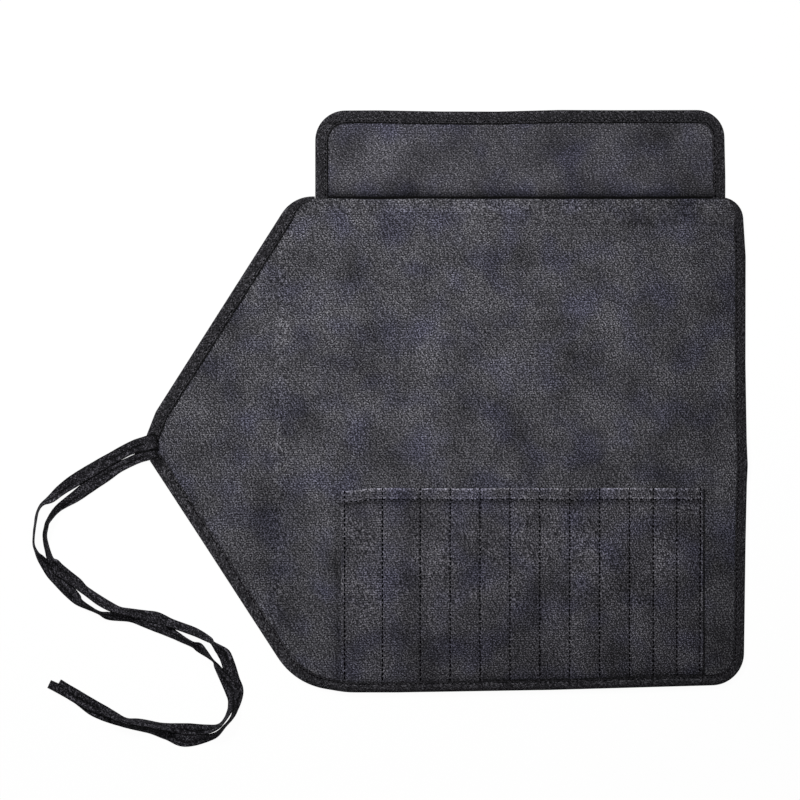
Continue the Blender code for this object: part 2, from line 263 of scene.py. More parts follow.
canvasLook = {
    "thread": 0.80,          # size of the yarn's crossings, mm
    "larger": 0.86,          # scale and turn of the second grain
    "turn": 0.5,
    "rib": 1.8, "weft": 0.13,
    "dark": (0.0035, 0.0034, 0.0048, 1),
    "pale": (0.300, 0.294, 0.330, 1),
    "fleck": (0.34, 0.335, 0.35, 1),
    "navy": (0.88, 0.89, 1.09, 1),
    "mean": 0.166, "contrast": 2.25,
    "nep": (3.1, 0.17, 0.50),            # spacing in mm, size and strength of the pale neps
    "patch": (40, 1.9), "streak": (26, 0.50), "lower": 0.19,      # size in mm and strength
    "blue": (30, 0.46, 4.0),             # size in mm, threshold and sharpness of the blue patches
    "right": (400.0, 462.0, 0.86),       # painted shade: the roll's right end is drawn darker
    "shade": 0.9,                        # how black the painted shade in clothPlace's third value makes the cloth
    "rough": (0.95, 0.20), "sheen": 0.05,
    "bump": 0.20, "bumpStrength": 0.6,
}


def clothMaterial(name, look, tint=(1, 1, 1, 1)):
    material, tree, shader, flat, split = clothTree(name)
    # each crossing of the yarn has a tone of its own: two sizes of grain, one turned, and faint ribs
    small = grainTone(tree, flat, 1 / look["thread"], 0)
    turned = addNode(tree, "ShaderNodeVectorRotate", {0: flat, 2: (0, 0, 1), 3: look["turn"]},
                     rotation_type="AXIS_ANGLE")
    large = grainTone(tree, turned.outputs[0], look["larger"] / look["thread"], 40)
    ribs = ribTone(tree, split[1], look["rib"])
    total = plus(tree, small, large, times(tree, ribs, look["weft"]))
    tone = toneOf(tree, total, look)
    colour = mixColour(tree, tone, look["dark"], look["pale"])
    # pale neps caught in the yarn
    spacing, size, strength = look["nep"]
    nep = addNode(tree, "ShaderNodeTexVoronoi", {"Vector": flat, "Scale": 1 / spacing}).outputs[0]
    nep = times(tree, calc(tree, "LESS_THAN", nep, size), strength)
    colour = mixColour(tree, nep, colour, look["fleck"])
    # soft patches, lighter, darker and bluer, and long streaks along the warp
    size, strength = look["patch"]
    patch = times(tree, noiseTone(tree, flat, size, 2, 0.5), strength)
    size, strength = look["streak"]
    long = vectorCalc(tree, "MULTIPLY", flat, (1, 0.14, 0))
    streak = times(tree, noiseTone(tree, long, size, 2, 0.6), strength)
    # painted shade towards the roll's right end, then the painted shade and highlights of clothPlace's
    # third value
    start, end, least = look["right"]
    right = addNode(tree, "ShaderNodeMapRange", {0: split[0], 1: start, 2: end, 3: 1.0, 4: least},
                    interpolation_type="SMOOTHSTEP").outputs[0]
    shade = times(tree, plus(tree, patch, streak, -look["lower"]), right)
    shade = times(tree, shade, calc(tree, "SUBTRACT", 1.0, times(tree, split[2], look["shade"])))
    colour = darkened(tree, colour, shade)
    size, threshold, sharpness = look["blue"]
    blue = calc(tree, "SUBTRACT", noiseTone(tree, flat, size, 1), threshold, True)
    blue = times(tree, blue, sharpness, True)
    colour = mixColour(tree, blue, colour, mixColour(tree, 1.0, colour, look["navy"], "MULTIPLY"))
    height = plus(tree, times(tree, ribs, 0.3), times(tree, total, 0.8))
    finishCloth(tree, shader, look, colour, tone, height, tint)
    shader.inputs["Sheen Roughness"].default_value = 0.6
    return material


tapeLook = {
    "crossing": 1.08,        # how many crossings of the yarn in a mm
    "rib": 1.7, "slant": 0.6, "ribs": 0.10,     # spacing in mm, slant and strength of the twill
    "dark": (0.0030, 0.0028, 0.0036, 1),
    "pale": (0.130, 0.126, 0.142, 1),
    "mean": 0.164, "contrast": 2.5, "streak": 2.5, "cloud": 0.5,
    # how black the painted shade in clothPlace's third value makes the tape
    "shade": 0.9,
    "rough": (0.92, 0.15), "sheen": 0.04,
    "bump": 0.16, "bumpStrength": 0.55,
}


def tapeMaterial(name, look, tint=(1, 1, 1, 1)):
    material, tree, shader, flat, split = clothTree(name)
    # a fine twill: slanting ribs, slubs along the tape, and a tone of its own for every crossing
    slant = plus(tree, split[0], times(tree, split[1], look["slant"]))
    ribs = ribTone(tree, slant, look["rib"])
    long = vectorCalc(tree, "MULTIPLY", flat, (0.42, 0.85, 0))
    streak = noiseAboutZero(tree, long, 1.0, 2, 0.7)
    cloud = noiseAboutZero(tree, flat, 7, 3, 0.7)
    total = plus(tree, grainTone(tree, flat, look["crossing"], 0), times(tree, streak, look["streak"]),
                 times(tree, ribs, look["ribs"]), times(tree, cloud, look["cloud"]))
    tone = toneOf(tree, total, look)
    colour = mixColour(tree, tone, look["dark"], look["pale"])
    # painted shade and highlights from clothPlace's third value
    colour = darkened(tree, colour, calc(tree, "SUBTRACT", 1.0, times(tree, split[2], look["shade"])))
    finishCloth(tree, shader, look, colour, tone, plus(tree, times(tree, ribs, 0.3), tone), tint)
    return material


def threadMaterial(name, dark, pale):
    material, tree, shader = newMaterial(name)
    place = addNode(tree, "ShaderNodeTexCoord").outputs["Object"]
    twist = noiseTone(tree, place, 0.8 * mm)
    tree.links.new(mixColour(tree, twist, dark, pale), shader.inputs["Base Color"])
    tree.links.new(plus(tree, times(tree, twist, 0.15), 0.85), shader.inputs["Roughness"])
    shader.inputs["Specular IOR Level"].default_value = 0.0
    return material


bodyCanvas = clothMaterial("bodyCanvas", canvasLook)
pocketCanvas = clothMaterial("pocketCanvas", canvasLook, (1.05, 1.04, 1.06, 1))
flapCanvas = clothMaterial("flapCanvas", dict(canvasLook, contrast=1.72, mean=0.187),
                           (0.95, 0.945, 0.965, 1))
bindingTape = tapeMaterial("bindingTape", tapeLook)
tieTape = tapeMaterial("tieTape", dict(tapeLook, contrast=3.1, mean=0.125, cloud=1.1, streak=2.7),
                       (1.06, 1.05, 1.09, 1))
blackThread = threadMaterial("blackThread", (0.0006, 0.0006, 0.0008, 1), (0.0030, 0.0030, 0.0036, 1))
print("materials made")


# cloth as a loft: stations along the piece, each with an outer and an inner row of points
def gridNormals(grid):
    along = np.gradient(grid, axis=0)
    across = np.gradient(grid, axis=1)
    normal = np.cross(along, across)
    return normal / np.maximum(np.linalg.norm(normal, axis=2, keepdims=True), 1e-12)


def gridsOf(rows):
    # outer points, inner points and places on the cloth, from rows that hold all three
    outer, inner, place = ([[spot[i] for spot in row] for row in rows] for i in range(3))
    return np.array(outer), np.array(inner), place


weldGap = 1e-7               # points that come nearer than this are one point, in metres


def loftPiece(name, outer, inner, place, material, first, last, lip=0):
    # closed mesh of the stations first to last; rows or ends that meet are welded.
    # a lip runs on past the last station, inside the next piece, and shows only when the two bend apart
    stations = [(outer[i], inner[i], place[i]) for i in range(first, last + 1)]
    if lip:
        run = outer[last] - outer[last - 1]
        run *= lip * mm / np.linalg.norm(run, axis=1, keepdims=True)
        sunk = (inner[last] - outer[last]) * 0.22
        stations.append((outer[last] + run + sunk, inner[last] + run - sunk, place[last]))
    n, k = len(stations), outer.shape[1]
    outerNormal, innerNormal = gridNormals(outer), -gridNormals(inner)
    mesh = bmesh.new()
    layer = mesh.verts.layers.float_vector.new("clothPlace")

    def addVertex(point, spot):
        vertex = mesh.verts.new(point)
        vertex[layer] = spot
        return vertex

    o, s = [], []
    for above, below, spot in stations:
        o.append([])
        s.append([])
        for j in range(k):
            o[-1].append(addVertex(above[j], spot[j]))
            welded = np.abs(above[j] - below[j]).max() < weldGap
            s[-1].append(o[-1][j] if welded else addVertex(below[j], spot[j]))
    kinds = []

    def face(corners, flat=False):
        seen = []
        for corner in corners:
            if corner[0] not in [c[0] for c in seen]:
                seen.append(corner)
        if len(seen) > 2:
            mesh.faces.new([c[0] for c in seen])
            kinds.append([None if flat else c[1] for c in seen])

    def wall(*corners):
        face([(v, 0) for v in corners], flat=True)

    for i in range(n - 1):
        for j in range(k - 1):
            spots = ((i, j), (i + 1, j), (i + 1, j + 1), (i, j + 1))
            face([(o[a][b], outerNormal[min(first + a, last), b]) for a, b in spots])
            face([(s[a][b], innerNormal[min(first + a, last), b]) for a, b in spots[::-1]])
        wall(o[i][0], s[i][0], s[i + 1][0], o[i + 1][0])
        wall(o[i][-1], o[i + 1][-1], s[i + 1][-1], s[i][-1])
    for j in range(k - 1):
        wall(o[0][j], o[0][j + 1], s[0][j + 1], s[0][j])
        wall(o[-1][j], s[-1][j], s[-1][j + 1], o[-1][j + 1])
    data = bpy.data.meshes.new(name)
    mesh.to_mesh(data)
    mesh.free()
    data.materials.append(material)
    data.shade_smooth()
    loops = []
    for polygon, spots in zip(data.polygons, kinds):
        for normal in spots:
            loops.append(tuple(polygon.normal) if normal is None else tuple(normal))
    data.normals_split_custom_set(loops)
    return addObject(name, data)


def bendAcross(obj):
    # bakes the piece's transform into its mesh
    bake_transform(obj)


# outlines
def insetCorners(corners, inset):
    # closed outline, walked with the cloth on the left; corners are (x, y, radius)
    sides = []
    for (ax, ay, _), (bx, by, _) in zip(corners, corners[1:] + corners[:1]):
        length = hypot(bx - ax, by - ay)
        dx, dy = (bx - ax) / length, (by - ay) / length
        sides.append((ax - dy * inset, ay + dx * inset, dx, dy))
    moved = []
    for i, corner in enumerate(corners):
        (ax, ay, adx, ady), (bx, by, bdx, bdy) = sides[i - 1], sides[i]
        run = ((bx - ax) * bdy - (by - ay) * bdx) / (adx * bdy - ady * bdx)
        moved.append((ax + adx * run, ay + ady * run, max(corner[2] - inset, 0)))
    return moved


def roundCorners(corners, closed, step=radians(4)):
    points = []
    for i, (x, y, radius) in enumerate(corners):
        if radius == 0 or (not closed and i in (0, len(corners) - 1)):
            points.append((x, y))
            continue
        px, py, _ = corners[i - 1]
        nx, ny, _ = corners[(i + 1) % len(corners)]
        start = np.arctan2(y - py, x - px)
        turn = (np.arctan2(ny - y, nx - x) - start + pi) % (2 * pi) - pi
        reach = radius * tan(turn / 2)
        cx = x - reach * cos(start) - radius * sin(start)
        cy = y - reach * sin(start) + radius * cos(start)
        count = max(2, ceil(abs(turn) / step))
        for j in range(count + 1):
            angle = start + turn * j / count
            points.append((cx + radius * sin(angle), cy - radius * cos(angle)))
    return points


bodyCorners = [
    (2.7, 184.7, 0), (40.5, 126.8, 0), (118.6, 6.3, 56), (160, -0.7, 80), (200, -0.7, 0), (322.8, 1.3, 0),
    (477.5, 5.7, 26), (479.1, 120, 0), (480.1, 166, 0), (480.8, 181, 0), (480.0, 200, 0), (479.0, 262, 0),
    (479.2, 348, 30), (476.2, 395.3, 18), (117.1, 396.2, 29), (7.5, 223.7, 14), (0, 204.5, 0),
]
rightEnd = 13        # the corner at the upper right in that list


def spanAt(points, x):
    # lowest and highest y of a closed outline at x
    found = []
    for (ax, ay), (bx, by) in zip(points, points[1:] + points[:1]):
        if (ax - x) * (bx - x) <= 0 and ax != bx:
            found.append(ay + (by - ay) * (x - ax) / (bx - ax))
    return min(found), max(found)


# how the whole roll lies: everything on it adds this height
drapeLook = {
    "wave": 0.55, "waveSize": 70, "fine": 0.16, "fineSize": 26,
    "crease": 0.55, "creaseX": 117, "creaseWidth": 2.6,
    "flat": 0.72,            # how much flatter the cloth lies near the flap
}


def drape(x, y):
    d = drapeLook
    h = 0.5 + d["wave"] * ripple(x, y * 0.7, d["waveSize"], 3.1)
    h += d["fine"] * ripple(x, y, d["fineSize"], 8.7)
    creaseX = d["creaseX"] - (y - 73) * 0.058 + 2.5 * ripple(0, y, 60, 1.3)
    h += d["crease"] * rise(y, 40, 60) * fall(y, 375, 60) * bell(x, creaseX, d["creaseWidth"])
    return max(h * (1 - d["flat"] * rise(y, 285, 45)), 0.02)


# body cloth: one canvas, cut into pieces across its length
bodyLook = {
    "low": 0.7, "thick": 1.0, "inset": 1.2, "spacing": 2.9, "rows": 140, "rightEnd": 476,
    "topEdge": 394.1,        # free edge in front of the flap
    "flapRow": (1.5, 0.75, 0.35, 0.12, 0.0),
    "turnedEdge": (1.0, 3.2),            # height and width of the turned edge in front of the flap
    # painted shade, and below zero painted highlight: strength, place and width in mm;
    # along the top edge a painted shadow and a painted highlight, beside the pockets' free edges painted
    # shadows, and painted shade over the lower part
    "edgeShadow": (0.65, 0.8, 0.4), "edgeHighlight": (0.22, 1.6, 0.8),
    "leftOfPockets": (0.45, 2.4, 1.7), "rightOfPockets": (0.75, 0.2, 0.6), "foot": (0.25, 85, 50),
    # the upright crease left of the pockets: a painted highlight along it and a painted shadow beside it
    "creaseX": 100.4, "crease": (0.13, 0, 2.6), "creaseShadow": (0.10, -8, 6),
}


def bodyTop(x, y):
    return bodyLook["low"] + bodyLook["thick"] + drape(x, y)


def topEdge(x):
    return bodyLook["topEdge"] + 0.45 * ripple(x, 0, 34, 5.5) + 0.2 * ripple(x, 0, 9, 2.5)


def columnsBetween(start, end, spacing, stops):
    # x positions at about the spacing that hit every stop
    marks = sorted([start, end] + [s for s in stops if start < s < end])
    xs = []
    for a, b in zip(marks, marks[1:]):
        count = max(1, round((b - a) / spacing))
        xs += [a + (b - a) * i / count for i in range(count)]
    return xs + [end]


def bodyShade(x, y, d, free, look):
    # painted shade on the body cloth at a place that is d below its top edge; below zero it is a painted
    # highlight
    dark = (band(look["edgeShadow"], d) - line(look["edgeHighlight"], d)) * free
    dark += band(look["foot"], y) * rise(x, 120, 60)
    crease = x - look["creaseX"] - (y - 73) * 0.03
    along = rise(y, 60, 60) * fall(y, 380, 30)
    dark += (line(look["creaseShadow"], crease) - line(look["crease"], crease)) * along
    left, right = roll["pocketSides"]
    beside = line(look["leftOfPockets"], left - x) + line(look["rightOfPockets"], x - right)
    return dark + beside * fall(y, roll["mouth"] + 1, 4)


def makeBody(look):
    outline = roundCorners(insetCorners(bodyCorners, look["inset"]), True)
    xs = columnsBetween(roll["tipHem"], look["rightEnd"], look["spacing"], middles + hinges)
    height, width = look["turnedEdge"]
    rows = []
    for x in xs:
        low, high = spanAt(outline, x)
        free = roll["flapSides"][0] - 6 < x < roll["flapSides"][1] + 4
        high = min(high, topEdge(x)) if free else high
        count = look["rows"]
        ys = [low + (high - 2.4 - low) * i / (count - 1) for i in range(count)]
        ys += [high - d for d in look["flapRow"]]
        row = []
        for y in ys:
            d = high - y
            lift = height * bell(d, 0, width) if free else 0
            thick = (look["thick"] + lift * 0.8) * (roundedEdge(d, 1.2) if free else 1)
            centre = bodyTop(x, y) - look["thick"] / 2 + lift * 0.55
            row.append((world(x, y, centre + thick / 2), world(x, y, centre - thick / 2),
                        (x, y, bodyShade(x, y, d, free, look))))
        rows.append(row)
    outer, inner, place = gridsOf(rows)
    cuts = [0] + [xs.index(m) for m in middles[1:-1]] + [len(xs) - 1]
    made = []
    for number, (a, b) in enumerate(zip(cuts, cuts[1:]), 1):
        piece = loftPiece(f"bodyCloth_{number:02d}", outer, inner, place, bodyCanvas, a, b)
        made.append((piece, number, xs[a], xs[b]))
    return made, outline


bodyPieces, bodyOutline = makeBody(bodyLook)
for piece, number, left, right in bodyPieces:
    bendAcross(piece)
    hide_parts(f"panel_{number:02d}", *(["panel_15"] if number == 14 else []))
print("body cloth made,", len(bodyPieces), "pieces")


# binding tape folded round the body's edge
bindingLook = {
    "spacing": 2.0, "stitch": (8.3, 2.2), "top": (1.2, 0.9),
    # folded profile, from the lip underneath round the edge to the lip on top: (inset, height)
    "outside": [(10.0, 0.10), (9.0, 0.0), (6.0, 0.0), (3.0, 0.02), (1.5, 0.15), (0.6, 0.5), (0.12, 0.95),
                (0.0, 1.35), (0.14, 1.8), (0.6, 2.25), (1.4, 2.6), (2.4, 2.78), (4.0, 2.8), (5.6, 2.7),
                (7.0, 2.5), (7.8, 2.28), (8.3, 2.16), (8.8, 2.3), (9.4, 2.5), (9.85, 2.45), (10.0, 2.25)],
    "inside": [(10.0, 0.40), (9.0, 0.42), (6.0, 0.42), (3.2, 0.45), (1.9, 0.58), (1.05, 0.8), (0.62, 1.05),
               (0.52, 1.35), (0.66, 1.6), (1.1, 1.85), (2.0, 1.96), (3.0, 2.0), (4.2, 2.0), (5.6, 2.0),
               (7.0, 2.0), (7.8, 1.98), (8.3, 1.94), (8.8, 1.98), (9.4, 2.0), (9.85, 2.02), (10.0, 2.04)],
}


def tapeShare(name, s, total):
    # how much of the tape's width shows: it slips in behind the edge towards the flap
    if name == "upperBinding":
        return min(1.0, 0.04 + s / 32)
    bottom, right = rise(s, 205, 50), rise(s, total - 420, 80)
    return min(1.02 - 0.22 * bottom + 0.04 * right, 0.04 + (total - s) / 42)


def resample(points, spacing, stops=()):
    # evenly spaced points along a line, with its ends kept and a point at every x in stops
    marks = [0.0]
    for a, b in zip(points, points[1:]):
        marks.append(marks[-1] + hypot(b[0] - a[0], b[1] - a[1]))
    wanted = {0.0, marks[-1]}
    for stop in stops:
        for k, (a, b) in enumerate(zip(points, points[1:])):
            if (a[0] - stop) * (b[0] - stop) < 0:
                wanted.add(marks[k] + (marks[k + 1] - marks[k]) * (stop - a[0]) / (b[0] - a[0]))
    wanted = sorted(wanted)
    at = []
    for a, b in zip(wanted, wanted[1:]):
        count = max(1, round((b - a) / spacing))
        at += [a + (b - a) * i / count for i in range(count)]
    at.append(wanted[-1])
    xs = np.interp(at, marks, [p[0] for p in points])
    ys = np.interp(at, marks, [p[1] for p in points])
    return list(zip(xs, ys)), at


def pathNormals(path):
    direction = np.gradient(np.array(path), axis=0)
    direction /= np.linalg.norm(direction, axis=1, keepdims=True)
    return np.stack([-direction[:, 1], direction[:, 0]], axis=1)      # towards the cloth


def overPockets(x, y):
    # the tape is lifted where it covers the foot of the pockets
    left, right = roll["pocketSides"]
    return 0.75 * rise(x, left - 3, 3) * fall(x, right + 3, 3) if y < 60 else 0.0


def noLift(x, y):
    return 0.0


tapeShades = {
    # painted shade, and below zero painted highlight: strength, inset and width of each line or band, mm;
    # painted shade on the outermost fold, a painted highlight beside it and another on the lower slope
    "fold": (0.60, 0.5, 0.5), "highlight": (0.22, 1.7, 0.9), "slopeHighlight": (0.25, 1.9, 0.9),
    "tip": (0.9, 8, 2), "corner": (4, 183),          # painted shadow around the tip's lower corner
    "crown": (0.24, 4.6, 1.9), "crownBottom": (-0.46, 1.6),      # painted shade on the crown, and how it differs along the bottom, where it becomes a painted highlight
    # painted shadow along the inner edge, deeper where it faces away from the light
    "innerEdgeShadow": (0.35, 9.5, 0.3),
    "slopes": (0.52, 0.42),              # painted light: how much paler the lower and the upper slope are
}


def tapeLie(px, nx, ny):
    # how a place on the edge faces: along the bottom, away from the light, and on the slopes
    flatRun = rise(ny, 0.85, 0.1)
    away = smooth((nx - ny) * 0.9)
    gap = 0.7 * flatRun * (0.4 + 0.6 * rise(px, 210, 90))
    slope = rise(nx, 0.5, 0.2)
    return flatRun, away, gap, slope * (ny > 0), slope * (ny < 0)


def tapeShade(ou, onTop, px, py, lie):
    # painted shade on the tape at an inset: its outer fold, its crown, its inner edge and the tip's corner,
    # less its painted highlights
    t = tapeShades
    flatRun, away, gap, lower, upper = lie
    strength, inset, width = t["crown"]
    more, shift = t["crownBottom"]
    crown = (strength + more * flatRun) * bell(ou, inset + shift * flatRun, width)
    strength, inset, width = t["innerEdgeShadow"]
    edge = (strength + 0.60 * max(away, gap)) * rise(ou, inset - 0.3 * away - 0.4 * gap, width)
    onLower, onUpper = t["slopes"]
    slopes = lower * (onLower + line(t["slopeHighlight"], ou))
    slopes += upper * onUpper * rise(ou, 4, 3) * (1 - rise(ou, 8.9, 0.4))
    cornerX, cornerY = t["corner"]
    tip = band(t["tip"], hypot(px - cornerX, py - cornerY))
    top = crown + edge - slopes + tip - (1 - 2.6 * flatRun) * line(t["highlight"], ou)
    return min(band(t["fold"], ou) + onTop * top, 1.0)


def bindingRows(path, along, look, raised, rest, share):
    # outer and inner rows of a folded tape along a path; raised(x, y) lifts its top side
    rows = []
    for (px, py), s, (nx, ny) in zip(path, along, pathNormals(path)):
        f = share(s)
        puff = 0.10 * sin(2 * pi * s / roll["pitch"]) + 0.22 * ripple(s, 0, 6, 4.4)
        lie = tapeLie(px, nx, ny)
        shadow = 0.55 * lie[1] + 0.7 * lie[2]       # the inner edge reaches on where it lies in shadow
        row = []
        t, previous = 0.0, look["outside"][0]
        for (ou, oz), (iu, iz) in zip(look["outside"], look["inside"]):
            onTop = rise(oz, *look["top"])
            lip = rise(ou, 6, 3)
            t += hypot(ou - previous[0], oz - previous[1])
            previous = (ou, oz)
            shade = tapeShade(ou, onTop, px, py, lie)
            shift = onTop * lip * f * 0.35 * ripple(s, 3, 11, 9.1) + shadow * onTop * rise(ou, 9.3, 0.6)
            ou = min(ou, 1.2) + max(ou - 1.2, 0) * f + shift
            iu = min(iu, 1.2) + max(iu - 1.2, 0) * f + shift
            ox, oy = px + nx * ou, py + ny * ou
            h = rest(ox, oy) + onTop * raised(px, py)
            puffed = onTop * puff * (0.35 + 0.65 * lip) * min(1, f * 2)
            row.append((world(ox, oy, oz + h + puffed), world(px + nx * iu, py + ny * iu, iz + h),
                        (s, t, shade)))
        rows.append(row)
    return gridsOf(rows)


def splitRun(points, limit):
    # part of a line to the right of an x limit, starting or ending exactly on it
    kept = []
    for a, b in zip(points, points[1:]):
        if a[0] >= limit:
            kept.append(a)
        if (a[0] >= limit) != (b[0] >= limit):
            share = (limit - a[0]) / (b[0] - a[0])
            kept.append((limit, a[1] + (b[1] - a[1]) * share))
    return kept + [points[-1]] * (points[-1][0] >= limit)


def cutsAt(path, stops):
    # numbers of the path's points at its ends and at every stop
    found = [i for i, p in enumerate(path) if min(abs(p[0] - s) for s in stops) < 1e-6]
    return [0] + found + [len(path) - 1]


def makeBinding(look):
    made = []
    flapLeft, flapRight = roll["flapSides"]
    lower = roundCorners(bodyCorners[:rightEnd + 1] + [(300, 395.3, 0)], False)
    corner = max(i for i, p in enumerate(lower) if p[1] < 300)
    lower = lower[:corner] + splitRun(lower[corner:], flapRight + 0.3)
    upper = roundCorners([(flapLeft - 0.3, 395.9, 0)] + bodyCorners[rightEnd + 1:], False)
    for name, run, stops in (("lowerBinding", lower, middles[1:-1]), ("upperBinding", upper, middles[1:2])):
        path, along = resample(run, look["spacing"], stops)
        outer, inner, place = bindingRows(path, along, look, overPockets, drape,
                                          lambda s: tapeShare(name, s, along[-1]))
        cuts = cutsAt(path, stops)
        for k, (a, b) in enumerate(zip(cuts, cuts[1:])):
            number = k + 1 if name == "lowerBinding" else 2 - k
            piece = loftPiece(f"{name}_{number:02d}", outer, inner, place, bindingTape, a, b)
            bendAcross(piece)
            # the last piece on either side takes the place of two strips
            last = {("lowerBinding", 14): ["right_binding"], ("upperBinding", 2): ["upper_binding_03"]}
            strip = name.replace("Binding", "_binding") + f"_{number:02d}"
            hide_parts(strip, *last.get((name, number), []))
            made.append((name, number, path, along, a, b))
    return made


bindingPieces = makeBinding(bindingLook)
print("body binding made,", len(bindingPieces), "pieces")


# pockets: one cloth sewn down along the seams, with a turned hem along the mouth
pocketLook = {
    "gap": 0.3, "thick": 0.6, "rise": 0.8, "toe": 30, "tuck": 4.2,
    "hem": 8.6, "hemThick": 1.0, "hemFall": 3.2, "hemStitch": 0.35,
    "seamDip": 0.25, "columns": 13, "rows": 54,
    # distances from the mouth of the rows that shape the hem
    "hemRows": (0, 0.1, 0.3, 0.6, 1.1, 2.0, 3.5, 5.2, 6.3, 7.0, 7.4, 7.9, 8.6, 9.4, 10.2, 11.2, 12.6),
    # painted highlights and painted shade, lines and bands: strength, distance and width in mm;
    # painted highlights along the mouth, the hem and the free sides, painted shade below the hem, at the
    # right edge, near the foot and over the lower part, and blotches of painted light and shade
    "mouthHighlight": (1.5, 0.4, 0.9), "hemHighlight": (0.75, 8.1, 0.7), "belowHem": (0.50, 2.3, 1.9),
    "leftSideHighlight": (0.25, 0.3, 0.9), "rightSideHighlight": (0.6, 2.2, 0.9), "rightEdgeShadow": (1.8, 1.5, 0.4),
    "nearFoot": (0.6, 8.5, 8), "atFoot": (0.7, 0.5, 1.5), "lowerShade": (0.5, 85, 50), "blotch": (0.20, 21),
}


def mouthLine(x):
    # the mouth sags a little between its seams and drops at the left corner
    y = roll["mouth"] + 0.55 + 0.5 * ripple(x, 0, 45, 6.1) + 0.25 * ripple(x, 0, 8, 2.2)
    return y - 2.2 * (1 - rise(x, roll["pocketSides"][0], 26))


def footLine(x):
    return np.interp(x, (160, 200, 322.8, 477.9), (-0.7, -0.7, 1.3, 5.7)) + roll["tape"]


def hemShare(fromMouth, look):
    return 1 - rise(fromMouth, look["hem"] + 0.2, look["hemFall"])


def pocketHeight(x, y, left, right, look):
    # height of the pocket's outer face above the body cloth
    share = (x - left) / (right - left)
    inside = 0 <= share <= 1
    crown = 1 - abs(2 * min(max(share, 0), 1) - 1) ** 2.1
    foot, mouth = footLine(x), mouthLine(x)
    size = look["rise"] * (1 + 0.35 * ripple(left, 0, 13, 7.7))
    h = size * crown * rise(y, foot, look["toe"]) if inside else 0
    # low bumps where the cloth was sewn down with some ease
    near = 1 - rise(y, foot + 20, 45)
    h += crown * (0.25 + 0.75 * near) * 0.45 * (ripple(x, y, 9, 11.3) + 0.4)
    h += crown * 0.30 * ripple(x, y, 26, 4.2)
    h += look["hemThick"] * hemShare(mouth - y, look)
    h -= 0.28 * bell(mouth - y, look["hem"] + look["hemStitch"], 0.7)
    h -= look["seamDip"] * bell(min(x - left, right - x), 0, 0.8)
    return look["gap"] + look["thick"] + max(h, -0.2)


def pocketColumns(left, right, freeLeft, freeRight, count):
    start, end = left - freeLeft, right + freeRight
    xs = [left + (right - left) * (1 - cos(pi * i / count)) / 2 for i in range(count + 1)]
    xs += [left + 0.35, left + 0.9, right - 0.9, right - 0.35]
    if freeLeft:
        xs += [start + d for d in (0, 0.1, 0.3, 0.7, 1.4)]
    if freeRight:
        xs += [end - d for d in (0, 0.1, 0.3, 0.7, 1.4, 2.6)]
    return sorted(set(xs))


def pocketShade(x, y, left, fromMouth, fromStart, fromEnd, look):
    # painted highlights along the mouth, the hem and the free sides; painted shade below the hem, along the
    # foot, at the right edge and over the lower part, with blotches of painted light and shade
    fromFoot = y - footLine(x)
    low = band(look["nearFoot"], fromFoot) + band(look["atFoot"], fromFoot) + band(look["lowerShade"], y)
    highlight = line(look["mouthHighlight"], fromMouth) + line(look["hemHighlight"], fromMouth)
    if fromStart is not None:
        highlight += line(look["leftSideHighlight"], fromStart)
    if fromEnd is not None:
        highlight += line(look["rightSideHighlight"], fromEnd)
        low += band(look["rightEdgeShadow"], fromEnd)
    low *= 0.55 + 0.45 * rise(x, 190, 90)
    strength, size = look["blotch"]
    blotch = strength * ripple(x, y, size, 3.3 + left) * rise(fromMouth, 12, 12)
    dark = min(line(look["belowHem"], fromMouth - look["hem"]) + 0.5 * low + blotch, 0.98)
    return dark - highlight * (1 - 0.9 * min(low, 1))


def makePockets(look):
    made = []
    seams = roll["seams"]
    for k in range(12):
        left, right = seams[k], seams[k + 1]
        freeLeft = seams[0] - roll["pocketSides"][0] if k == 0 else 0
        freeRight = roll["pocketSides"][1] - seams[-1] if k == 11 else 0
        xs = pocketColumns(left, right, freeLeft, freeRight, look["columns"])
        start, end = xs[0], xs[-1]
        rows = []
        for x in xs:
            foot, mouth = footLine(x) - look["tuck"], mouthLine(x)
            highest = mouth - look["hemRows"][-1]
            count = look["rows"]
            ys = [highest - (highest - foot) * i / count for i in range(count, 0, -1)]
            ys += [mouth - d for d in reversed(look["hemRows"])]
            row = []
            for y in ys:
                fromMouth = mouth - y
                fromStart, fromEnd = x - start if freeLeft else None, end - x if freeRight else None
                away = min(d for d in (fromMouth, fromStart, fromEnd) if d is not None)
                thick = look["thick"] + 0.7 * hemShare(fromMouth, look)
                full = max(pocketHeight(x, y, left, right, look), look["gap"] + 0.35)
                centre = bodyTop(x, y) + full - thick / 2
                thick *= roundedEdge(away, 0.6)
                shade = pocketShade(x, y, left, fromMouth, fromStart, fromEnd, look)
                row.append((world(x, y, centre + thick / 2), world(x, y, centre - thick / 2),
                            (x, y + 1300, shade)))
            rows.append(row)
        piece = loftPiece(f"pocketFront_{k + 1:02d}", *gridsOf(rows), pocketCanvas, 0, len(xs) - 1)
        body = f"strip_{stripAt((left + right) / 2):02d}"
        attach(piece, body)
        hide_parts(f"pocket_{k + 1:02d}")
        made.append((body, left, right))
    return made


pocketPieces = makePockets(pocketLook)
print("pockets made,", len(pocketPieces))


